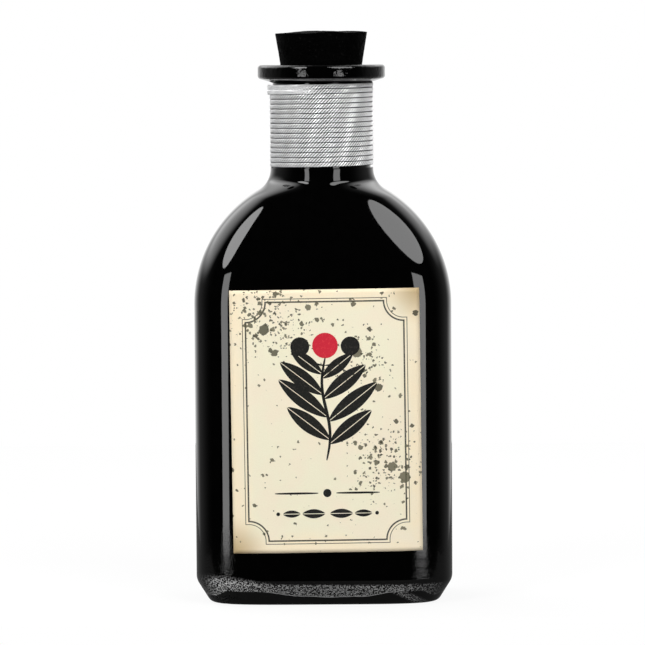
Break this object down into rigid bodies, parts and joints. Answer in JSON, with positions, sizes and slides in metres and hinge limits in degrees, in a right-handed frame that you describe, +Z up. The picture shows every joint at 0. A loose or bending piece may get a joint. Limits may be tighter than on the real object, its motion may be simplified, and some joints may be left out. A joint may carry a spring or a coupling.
{
  "type": "corked glass bottle",
  "caption": "Flat-sided black glass flask with rounded shoulders, a flared lip, a tapered cork stopper, a cord-bound neck and a paper front label.",
  "frame": {"origin": "middle of the footprint, on the surface that the bottle stands on", "axes": "+Z up along the neck, -Y out of the label, +X to the right of someone who faces the label"},
  "size_m": [0.063, 0.0362, 0.14],
  "materials": {
    "black_glass": "clear glass lacquered gloss black outside, thinning to bare glass at the heel",
    "black_cork": "pressed cork dyed black, matte",
    "silver_cord": "twisted metallic thread",
    "label_paper": "aged uncoated paper with dark print"
  },
  "bodies": {
    "bottle": {"glass_bottle": "black_glass", "neck_cord": "silver_cord", "front_label": "label_paper"},
    "stopper": {"cork_stopper": "black_cork"}
  },
  "joints": [
    {"name": "cork_pull", "type": "slide", "parent": "bottle", "child": "stopper", "axis": [0, 0, 1], "range_m": [0, 0.02]}
  ]
}
